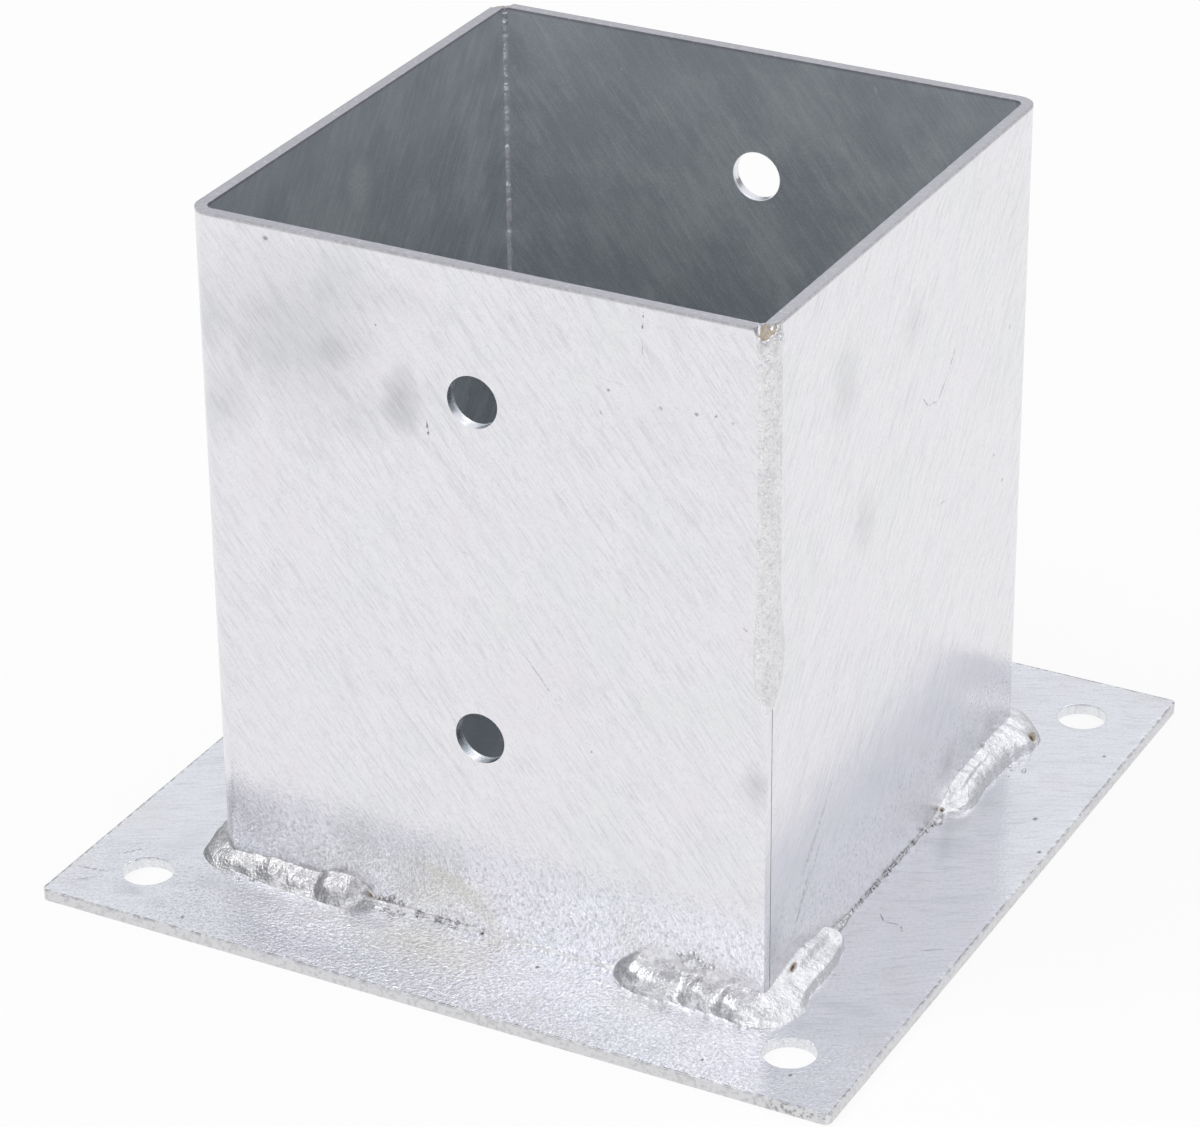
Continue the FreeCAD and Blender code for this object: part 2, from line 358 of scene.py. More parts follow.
def galvanisedSheet():
    material, paint = newMaterial("galvanised sheet")
    x, y, z = paint.places()
    look = sheetLook
    turn = math.radians(look["streakAngle"])
    u = x - y
    along = u * math.cos(turn) - z * math.sin(turn)
    across = u * math.sin(turn) + z * math.cos(turn)
    side = (x + y) * 0.02
    front = paint.rise(y, -61.6, -62.2)
    right = paint.rise(x, 61.6, 62.2)
    foot = paint.rise(z, 30.0, 14.0)
    depth = paint.either(paint.size(x), paint.size(y))
    inside = paint.rise(depth, 61.6, 61.0)

    fine = paint.grain(paint.vector(along * 0.16, across * 1.7, side), 1.0, 2.0, 0.6)
    hair = paint.grain(paint.vector(along * 0.45, across * 3.6, side + 11.0), 1.0, 1.0, 0.6)
    middle = paint.grain(paint.vector(along * 0.07, across * 0.5, side + 7.0), 1.0, 1.0, 0.55)
    grit = paint.grain(paint.spot, 1.5, 2.0, 0.6)
    fleck = paint.grain(paint.spot, 2.6, 1.0, 0.7)
    cloud = paint.grain(paint.spot, 0.05, 3.0, 0.6)
    ragged = (cloud - 0.5) * 1.8

    streak = paint.rise(fine, 0.46, 0.68) * 0.29 + paint.rise(middle, 0.48, 0.72) * 0.14
    streak = streak + paint.rise(hair, 0.48, 0.70) * 0.19
    streak = streak * (1.3 - cloud) * (1.0 - foot * 0.65) + paint.rise(fleck, 0.5, 0.75) * 0.16
    base = paint.mix(streak, look["bright"], look["dull"])
    base = paint.mix(paint.rise(cloud, 0.5, 0.68) * 0.4, base, look["rosy"])
    base = paint.mix(paint.rise(cloud, 0.5, 0.34) * 0.4, base, look["greenish"])
    base = paint.mix(paint.rise(grit, 0.52, 0.68) * (0.16 + foot * 0.45), base, look["dull"])
    base = paint.mix(paint.rise(grit, 0.42, 0.32) * foot * 0.45, base, look["sparkle"])

    # cut rim, with a broken dark line along its outer edge
    rim = paint.rise(z, 149.2, 149.75)
    scuff = paint.grain(paint.spot, 0.9, 2.0, 0.65)
    rimColour = paint.mix(paint.rise(scuff, 0.5, 0.7) * 0.5, look["rim"], look["rimPale"])
    rimColour = paint.mix(paint.rise(fleck, 0.48, 0.66) * 0.5, rimColour, look["dull"])
    outer = paint.rise(depth + scuff * 0.8, 62.95, 63.2)
    rimColour = paint.mix(outer * paint.rise(scuff, 0.42, 0.62) * 0.4, rimColour, look["dark"])

    relief = paint.grain(paint.spot, 0.14, 1.0, 0.5) * 0.084
    normal = paint.bump(relief + grit * (0.023 + foot * 0.1))
    roughness = 0.15 + streak * 0.12 + cloud * 0.05

    # each side with its own marks; dark specks are broken up by the grit
    sides = []
    for wall, stains, scratches, specks in (
            ((1, -63.0), look["frontStainsAndTopShade"], look["frontScratches"], look["frontSpecks"]),
            ((0, 63.0), look["rightStains"], look["rightScratches"], look["rightSpecks"])):
        # on the front these patches are partly painted shade, darkening the top of the wall
        stained = paint.patches(wall, stains, 0.95, ragged)
        colour = paint.mix(stained * (0.4 + fine * 0.8), base, look["stain"])
        specks = [((place, height), (radius, radius), 0.8) for place, height, radius in specks]
        speck = paint.either(paint.scratches(wall, scratches), paint.patches(wall, specks, 0.8))
        colour = paint.mix(speck * paint.rise(grit, 0.40, 0.52), colour, look["dark"])
        sides.append(colour)
    # the welding has left straw tints and a faint arc on the front
    wall = (1, -63.0)
    straw = paint.patches(wall, look["straws"], 1.0, ragged) * 0.55
    ring = paint.patches(wall, [look["arc"][0]], 0.12) - paint.patches(wall, [look["arc"][1]], 0.2)
    straw = straw + paint.rise(ring, 0.1, 0.9) * paint.rise(x, -24.0, -12.0) * 0.35
    sides[0] = paint.mix(straw, sides[0], look["straw"])

    # inside of the sleeve: a darker, bluer copy of the sheet's colour, painted shade for the hollow
    pale = paint.rise(middle, 0.42, 0.70) * 0.25 + paint.rise(fine, 0.42, 0.68) * 0.3
    pale = pale + paint.rise(cloud, 0.40, 0.62) * 0.4 + paint.rise(fleck, 0.45, 0.7) * 0.4
    pale = pale * (1.0 - paint.rise(z, 120.0, 149.0) * 0.35)
    pale = paint.either(pale, paint.patches((0, -60.5), look["insideLeft"], 0.8, ragged) * (grit * 2.3))
    pale = paint.either(pale, paint.patches((1, 60.5), look["insideBack"], 0.9, ragged) * (grit * 1.7))
    dark = paint.mix(pale, look["inside"], look["insidePale"])
    dark = paint.mix(paint.scratches((1, 60.5), look["insideScratches"]), dark, look["sparkle"])

    surface = paint.metal(base, roughness, normal)
    surface = paint.layer(inside, surface, paint.metal(dark, 0.4 + cloud * 0.05, paint.bump(relief)))
    surface = paint.layer(right, surface, paint.metal(sides[1], roughness, normal))
    surface = paint.layer(front, surface, paint.metal(sides[0], roughness, normal))
    surface = paint.layer(rim, surface, paint.metal(rimColour, roughness + 0.22, normal))
    paint.finish(surface)
    return material


# galvanised plate: grainy towards the front, brushed to the right, with scratches and burnt patches
plateLook = {
    "bright": (0.80, 0.805, 0.835, 1),
    "dull": (0.50, 0.51, 0.56, 1),
    "straw": (0.70, 0.685, 0.62, 1),
    "edge": (0.71, 0.71, 0.725, 1),
    "sparkle": (0.97, 0.97, 0.98, 1),
    "dark": (0.16, 0.155, 0.16, 1),
    "stains": [
        ((-73.0, -82.0), (4.5, 2.4), 0.8), ((-66.0, -83.5), (3.5, 2.0), 0.6),
        ((-32.0, -84.0), (20.0, 6.0), 0.35), ((-62.0, -71.0), (9.0, 4.0), 0.45),
        ((-46.0, -71.5), (14.0, 3.5), 0.5), ((-23.0, -70.0), (5.0, 3.0), 0.6),
        ((50.0, -71.5), (16.0, 3.5), 0.35), ((72.0, 11.0), (7.0, 5.0), 0.35),
        ((76.0, 30.0), (10.0, 12.0), 0.25), ((67.0, 20.0), (3.5, 7.0), 0.6),
        ((75.0, -55.0), (12.0, 4.0), 0.4), ((-73.0, -60.0), (5.0, 10.0), 0.3)],
    "straws": [
        ((-10.0, -73.0), (22.0, 9.0), 0.8), ((-45.0, -74.0), (18.0, 5.0), 0.5),
        ((42.0, -73.0), (16.0, 6.0), 0.4), ((68.0, 22.0), (4.0, 10.0), 0.6)],
    "scratches": [
        ([(-84.0, -72.0), (-79.0, -66.0)], 0.25, 0.6), ([(-88.0, -79.0), (-81.5, -78.0)], 0.3, 0.6),
        ([(-86.0, -84.0), (-82.0, -80.5)], 0.25, 0.5), ([(-67.0, -76.0), (-62.0, -73.0)], 0.25, 0.4),
        ([(68.5, -20.0), (70.5, -22.5), (74.0, -22.0), (75.5, -24.5)], 0.2, 0.7),
        ([(66.0, -47.0), (72.0, -44.0)], 0.3, 0.4), ([(80.0, -30.0), (86.0, -26.0)], 0.25, 0.4)],
    "specks": [
        (15.7, -69.5, 0.55), (82.0, 29.0, 0.7), (77.5, -81.0, 0.5), (88.0, 17.0, 0.6),
        (-58.0, -86.0, 0.5), (60.0, -84.0, 0.45), (85.0, 60.0, 0.5)],
}


def galvanisedPlate():
    material, paint = newMaterial("galvanised plate")
    x, y, z = paint.places()
    look = plateLook
    swirl = paint.grain(paint.spot, 0.02, 1.0, 0.4)
    turn = math.radians(28.0)
    along = x * math.cos(turn) + y * math.sin(turn) + swirl * 12.0
    across = y * math.cos(turn) - x * math.sin(turn) + swirl * 16.0
    near = paint.rise(y, -62.0, -68.0)      # the strip in front of the sleeve, smoother towards its ends
    near = near * (1.0 - paint.rise(x + y * 0.27, 46.0, 52.0) * 0.7)
    near = near * (1.0 - paint.rise(x, -58.0, -72.0) * 0.5)
    fine = paint.grain(paint.vector(along * 0.14, across * 1.5, 1.0), 1.0, 2.0, 0.6)
    broad = paint.grain(paint.vector(along * 0.03, across * 0.2, 5.0), 1.0, 1.0, 0.5)
    grit = paint.grain(paint.spot, 1.25, 2.0, 0.6)
    fleck = paint.grain(paint.spot, 2.4, 1.0, 0.7)
    cloud = paint.grain(paint.spot, 0.06, 3.0, 0.6)
    ragged = (cloud - 0.5) * 1.8
    face = (2, 2.5)

    streak = paint.rise(fine, 0.48, 0.72) * (0.34 - near * 0.1) + paint.rise(broad, 0.5, 0.75) * 0.14
    colour = paint.mix(streak, look["bright"], look["dull"])
    colour = paint.mix(paint.rise(grit, 0.50, 0.66) * (0.16 + near * 0.24), colour, look["dull"])
    colour = paint.mix(paint.rise(grit, 0.46, 0.34) * (0.1 + near * 0.45), colour, look["sparkle"])
    colour = paint.mix(paint.rise(fleck, 0.60, 0.74) * (0.15 + near * 0.5), colour, look["sparkle"])
    colour = paint.mix(paint.rise(fleck, 0.46, 0.30) * (0.3 + near * 0.2), colour, look["dull"])
    colour = paint.mix(paint.rise(cloud, 0.5, 0.7) * 0.25, colour, look["straw"])
    colour = paint.mix(paint.patches(face, look["straws"], 1.0, ragged) * 0.55, colour, look["straw"])
    stained = paint.patches(face, look["stains"], 0.9, ragged)
    colour = paint.mix(stained * (0.3 + fine * 0.6), colour, look["dull"])
    speck = paint.scratches(face, look["scratches"]) * paint.rise(grit, 0.38, 0.5)
    specks = [((place, depth), (radius, radius * 1.3), 0.9) for place, depth, radius in look["specks"]]
    speck = paint.either(speck, paint.patches(face, specks, 0.8))
    colour = paint.mix(speck, colour, look["dark"])

    # the floor of the sleeve, darkened as painted shade, then cut edges, and the broken dark line where the
    # top face meets them
    depth = paint.either(paint.size(x), paint.size(y))
    colour = paint.mix(paint.rise(depth, 61.8, 60.8) * 0.7, colour, look["dark"])
    inner = colour
    scuff = paint.grain(paint.spot, 0.7, 2.0, 0.7)
    edge = paint.rise(depth, 89.6, 89.95)
    colour = paint.mix(edge, colour, look["edge"])
    top = paint.rise(z, 2.0, 2.35)
    line = paint.rise(depth + scuff * 0.5, 89.72, 89.95) * top * (1.0 - edge * 0.6)
    colour = paint.mix(line * paint.rise(scuff, 0.42, 0.6) * 0.7, colour, look["dark"])
    worn = paint.patches((1, -90.0), [((84.0, 1.2), (12.0, 3.0), 0.6)], 0.9)
    colour = paint.mix(edge * paint.rise(grit, 0.45, 0.7) * (0.25 + worn), colour, look["dark"])
    lip = paint.rise(depth, 88.2, 88.8) * paint.rise(scuff, 0.44, 0.34) * top * (1.0 - edge)
    colour = paint.mix(lip * 0.5, colour, look["sparkle"])

    height = paint.grain(paint.spot, 0.1, 1.0, 0.5) * 0.096 + grit * (0.036 + near * 0.14)
    normal = paint.bump(height)
    roughness = 0.17 + streak * 0.12
    surface = paint.metal(inner, roughness, normal)
    border = paint.metal(colour, roughness + edge * 0.2, normal)
    paint.finish(paint.layer(paint.rise(depth, 88.0, 88.1), surface, border))
    return material


weldLook = {
    "bright": (0.80, 0.80, 0.805, 1),
    "dull": (0.46, 0.46, 0.475, 1),
    "matt": (0.88, 0.875, 0.89, 1),
    "burnt": (0.43, 0.36, 0.28, 1),
    "rust": (0.13, 0.085, 0.05, 1),
}


def weldMetal():
    material, paint = newMaterial("weld metal")
    paint.places()
    look = weldLook
    pit, matt, shade = [paint.add("ShaderNodeAttribute", {"attribute_name": name}, output="Fac")
                        for name in ("pit", "matt", "shade")]
    patches = paint.grain(paint.spot, 0.35, 2.0, 0.6)
    grit = paint.grain(paint.spot, 1.3, 2.0, 0.65)
    fleck = paint.grain(paint.spot, 2.1, 1.0, 0.5)
    colour = paint.mix(paint.rise(patches, 0.42, 0.62) * 0.6, look["bright"], look["dull"])
    colour = paint.mix(matt * 0.8, colour, look["matt"])
    colour = paint.mix(paint.rise(grit, 0.50, 0.66) * (0.65 - matt * 0.3), colour, look["dull"])
    # painted sparkle: near-white flecks that stand in for glints
    colour = paint.mix(paint.rise(fleck, 0.58, 0.68) * 0.8, colour, (0.97, 0.97, 0.97, 1))
    # painted shade: the shade attribute darkens towards near black, a painted shadow of the gap on the joint
    # lines and painted shade on the front left bead; it also darkens some spatter
    colour = paint.mix(shade, colour, (0.26, 0.25, 0.25, 1))
    stain = pit + (grit - 0.5) * 0.35
    burnt = paint.mix(paint.rise(grit, 0.42, 0.6) * 0.5, look["burnt"], (0.60, 0.55, 0.49, 1))
    colour = paint.mix(paint.rise(stain, 0.22, 0.42), colour, burnt)
    colour = paint.mix(paint.rise(stain, 0.62, 0.85), colour, look["rust"])
    normal = paint.bump(grit * 0.19 + fleck * 0.14)
    roughness = 0.30 + patches * 0.16 + matt * 0.12 + paint.rise(pit, 0.2, 0.6) * 0.35
    paint.finish(paint.metal(colour, roughness, normal, 1.0 - paint.rise(pit, 0.25, 0.6) * 0.8))
    return material


halfSheet = {
    "gap": 0.2,             # what the zinc leaves open between one half's edge and the other half
    "holeRadius": 5.5,
    "holeHeights": (48.0, 122.0),
    "edgeRound": 0.22,
}


# left and front walls folded from one sheet, with the two bolt holes
def foldedHalf():
    size = halfSheet
    outer = post["sleeveHalf"]
    centre = outer - post["bendRadius"]
    inner = outer - post["sheetThick"]
    bm = bmesh.new()
    last = bm.verts.new((-outer, inner - size["gap"], post["plateThick"]))

    def runTo(vert, place):
        grown = bmesh.ops.extrude_vert_indiv(bm, verts=[vert])["verts"][0]
        grown.co = place
        return grown

    last = runTo(last, (-outer, -centre, post["plateThick"]))
    bend = bmesh.ops.spin(bm, geom=[last], cent=(-centre, -centre, 0), axis=up, angle=math.radians(90),
                          steps=14, use_duplicate=False)
    last = [item for item in bend["geom_last"] if isinstance(item, bmesh.types.BMVert)][0]
    runTo(last, (outer, -outer, post["plateThick"]))
    wall = bmesh.ops.extrude_edge_only(bm, edges=bm.edges[:])
    lifted = [item for item in wall["geom"] if isinstance(item, bmesh.types.BMVert)]
    bmesh.ops.translate(bm, verts=lifted, vec=(0, 0, post["rimHeight"] - post["plateThick"]))
    bmesh.ops.recalc_face_normals(bm, faces=bm.faces[:])
    probe = max(bm.faces, key=lambda f: f.calc_area() if f.calc_center_median().y < -outer + 1 else 0)
    if probe.normal.y < 0:
        bmesh.ops.reverse_faces(bm, faces=bm.faces[:])
    bmesh.ops.solidify(bm, geom=bm.faces[:], thickness=-post["sheetThick"])
    bmesh.ops.recalc_face_normals(bm, faces=bm.faces[:])

    cutters = []
    for height in size["holeHeights"]:
        cutters.append(roundBar(size["holeRadius"], (0, -outer - 2, height), (0, -inner + 2, height)))
    crater = seamBead["crater"]
    for degrees in (0, 180):
        ball = bmesh.new()
        bmesh.ops.create_uvsphere(ball, u_segments=48, v_segments=24, radius=crater["radius"])
        bmesh.ops.translate(ball, verts=ball.verts[:], vec=(crater["out"], -crater["out"], crater["height"]))
        for cutter in (seamGroove(), ball):
            turnAbout(cutter, degrees)
            cutters.append(cutter)
    bm = cutAway(bm, cutters)
    roundEdges(bm, size["edgeRound"], 2)
    return bm


# what the seam weld has melted off the sharp corner: a long wedge that runs out to nothing at its foot
def seamGroove():
    lapLeg, buttLeg = seamBead["rounding"]
    outer = post["sleeveHalf"]
    full, end = seamBead["fullFrom"], seamBead["sharpBelow"]
    bm = bmesh.new()
    outline = [(outer - lapLeg, -outer - 1.0), (outer - lapLeg, -outer), (outer, -outer + buttLeg),
               (outer + 1.0, -outer + buttLeg), (outer + 1.0, -outer - 1.0)]
    base = bm.faces.new([bm.verts.new((px, py, full)) for px, py in outline])
    grown = bmesh.ops.extrude_face_region(bm, geom=[base])
    top = [item for item in grown["geom"] if isinstance(item, bmesh.types.BMVert)]
    bmesh.ops.translate(bm, verts=top, vec=(0, 0, post["rimHeight"] - full + 3))
    lower = [face for face in bm.faces if all(vert.co.z < full + 1 for vert in face.verts)]
    grown = bmesh.ops.extrude_face_region(bm, geom=lower)
    foot = [item for item in grown["geom"] if isinstance(item, bmesh.types.BMVert)]
    for vert in foot:
        vert.co.z = end
        vert.co.x = max(vert.co.x, outer - 0.02)
        vert.co.y = min(vert.co.y, -outer + 0.02)
    bmesh.ops.delete(bm, geom=[face for face in lower if face.is_valid], context="FACES_ONLY")
    bmesh.ops.recalc_face_normals(bm, faces=bm.faces[:])
    return bm


anchorPlate = {
    "cornerRadius": 1.5,
    "holeRadius": 5.5,
    "holeOffset": 74.0,
    "edgeRound": 0.25,
}


def anchorPlateMesh():
    size = anchorPlate
    half = post["plateHalf"]
    bm = bmesh.new()
    bmesh.ops.create_cube(bm, size=1.0)
    bmesh.ops.scale(bm, vec=(2 * half, 2 * half, post["plateThick"]), verts=bm.verts[:])
    bmesh.ops.translate(bm, vec=(0, 0, post["plateThick"] / 2), verts=bm.verts[:])
    corners = [e for e in bm.edges if abs(e.verts[0].co.z - e.verts[1].co.z) > 1]
    bmesh.ops.bevel(bm, geom=corners, offset=size["cornerRadius"], segments=6, profile=0.5,
                    affect="EDGES", offset_type="OFFSET", material=-1)
    cutters = []
    for sideX in (-1, 1):
        for sideY in (-1, 1):
            place = (sideX * size["holeOffset"], sideY * size["holeOffset"])
            cutters.append(roundBar(size["holeRadius"], (*place, -2), (*place, post["plateThick"] + 2)))
    bm = cutAway(bm, cutters)
    roundEdges(bm, size["edgeRound"], 2)
    return bm


# smooth value between listed stations
def along(stations, place):
    places = [station[0] for station in stations]
    if place <= places[0]:
        return list(stations[0][1:])
    if place >= places[-1]:
        return list(stations[-1][1:])
    after = bisect.bisect_right(places, place)
    a, b = stations[after - 1], stations[after]
    before, beyond = stations[max(after - 2, 0)], stations[min(after + 1, len(stations) - 1)]
    span = b[0] - a[0]
    t = (place - a[0]) / span
    values = []
    for i in range(1, len(a)):
        slopeA = (b[i] - before[i]) / (b[0] - before[0]) * span
        slopeB = (beyond[i] - a[i]) / (beyond[0] - a[0]) * span
        values.append(a[i] * (1 + 2 * t) * (1 - t) ** 2 + slopeA * t * (1 - t) ** 2
                      + b[i] * t * t * (3 - 2 * t) - slopeB * t * t * (1 - t))
    return values


# where a weld's foot runs round a corner of the sleeve: foot, and the way out from the wall
def footPath(distance, radius):
    outer = post["sleeveHalf"]
    centre = outer - radius
    half = radius * math.pi / 4
    if radius > 0:
        turn = min(max((distance + half) / (2 * half), 0.0), 1.0) * math.pi / 2
    else:
        turn = softStep(-3.5, 3.5, distance) * math.pi / 2
    way = Vector((math.sin(turn), -math.cos(turn), 0))
    if distance < -half:
        foot = Vector((centre + distance + half, -outer, 0))
    elif distance > half:
        foot = Vector((outer, -centre + distance - half, 0))
    else:
        foot = Vector((centre, -centre, 0)) + way * radius
    return foot, way


def newBeadMesh():
    bm = bmesh.new()
    for name in ("pit", "matt", "shade"):
        bm.verts.layers.float.new(name)
    return bm


# adds a closed ball whose rows and columns are then laid along and round a bead:
# gives each vertex with its share of the way along and of the way round
def beadBall(bm, ring, steps):
    made = bmesh.ops.create_uvsphere(bm, u_segments=ring, v_segments=steps, radius=1.0)
    for vert in made["verts"]:
        share = math.acos(min(max(vert.co.z, -1.0), 1.0)) / math.pi
        around = (math.atan2(vert.co.y, vert.co.x) / (2 * math.pi)) % 1.0
        yield vert, share, around


# a fillet of weld metal that follows a path: closed, lumpy, sunk a little into wall and plate
def weldBead(bm, path, bead, seed):
    stations = bead["stations"]
    start, end = stations[0][0], stations[-1][0]
    pit, matt, shade = [bm.verts.layers.float[name] for name in ("pit", "matt", "shade")]
    drift = Vector((seed * 17.3, seed * 5.1, seed * 9.7))
    seen = 0.76     # share of the ring that shows
    for vert, share, around in beadBall(bm, bead["ring"], int((end - start) / bead["step"])):
        distance = end + (start - end) * share
        reach, rise, full = along(stations, distance)
        reach *= 1 + 0.07 * noise.noise(Vector((distance * 0.45, seed, 0)))
        rise *= 1 + 0.06 * noise.noise(Vector((distance * 0.45, seed, 9)))
        tip = min(distance - start, end - distance)
        if tip < bead["nose"]:
            shrink = math.sqrt(max(1 - (1 - tip / bead["nose"]) ** 2, 0.0))
            reach *= shrink
            rise *= shrink
        foot, way = path(distance)
        t = -1.0
        if around < seen:
            t = around / seen
            swell = (full - 0.5) * 1.1 * math.sin(math.pi * t) ** 1.2
            out = (1 - t + swell) * reach
            height = (t + swell) * rise
            slope = Vector((rise, reach)).normalized() if reach + rise > 0 else Vector((0.7, 0.7))
            spot = foot + way * out + up * height
            lift = 0.0
            for lump in bead["lumps"]:
                away = ((distance - lump[0]) / lump[2]) ** 2 + ((t - lump[1]) / lump[3]) ** 2
                lift += lump[4] * math.exp(-away)
            wave = distance / bead["rippleLength"] + 0.9 * (t - 0.5) ** 2
            wave += 0.8 * noise.noise(spot * 0.35 + drift)
            lift += bead["ripple"] * math.cos(wave * 2 * math.pi) * (0.6 + noise.noise(spot * 0.4 - drift))
            lift += bead["rough"] * noise.fractal(spot * bead["roughScale"] + drift, 1.0, 2.2, 2)
            lift += bead["fine"] * noise.noise(spot * 1.6 - drift)
            fade = min(1.0, 4 * t, 4 * (1 - t)) * min(1.0, tip / 2.0)
            out = max(out + slope.x * lift * fade, -0.1)
            height = max(height + slope.y * lift * fade, -0.1)
        else:
            q = (around - seen) / (1 - seen)
            if q < 0.5:
                out, height = -0.3, rise * (1 - 2 * q) - 0.3 * 2 * q
            else:
                out, height = reach * (2 * q - 1) - 0.3 * (2 - 2 * q), -0.3
        vert.co = foot + way * out + up * (height + post["plateThick"])
        for mark in bead["pits"]:
            near = math.exp(-((distance - mark[0]) / mark[2]) ** 2 - ((t - mark[1]) / mark[3]) ** 2)
            vert[pit] = max(vert[pit], near)
        vert[matt] = softStep(bead["mattFrom"][0], bead["mattFrom"][1], distance)
        vert[shade] = bead.get("shade", 0.0)


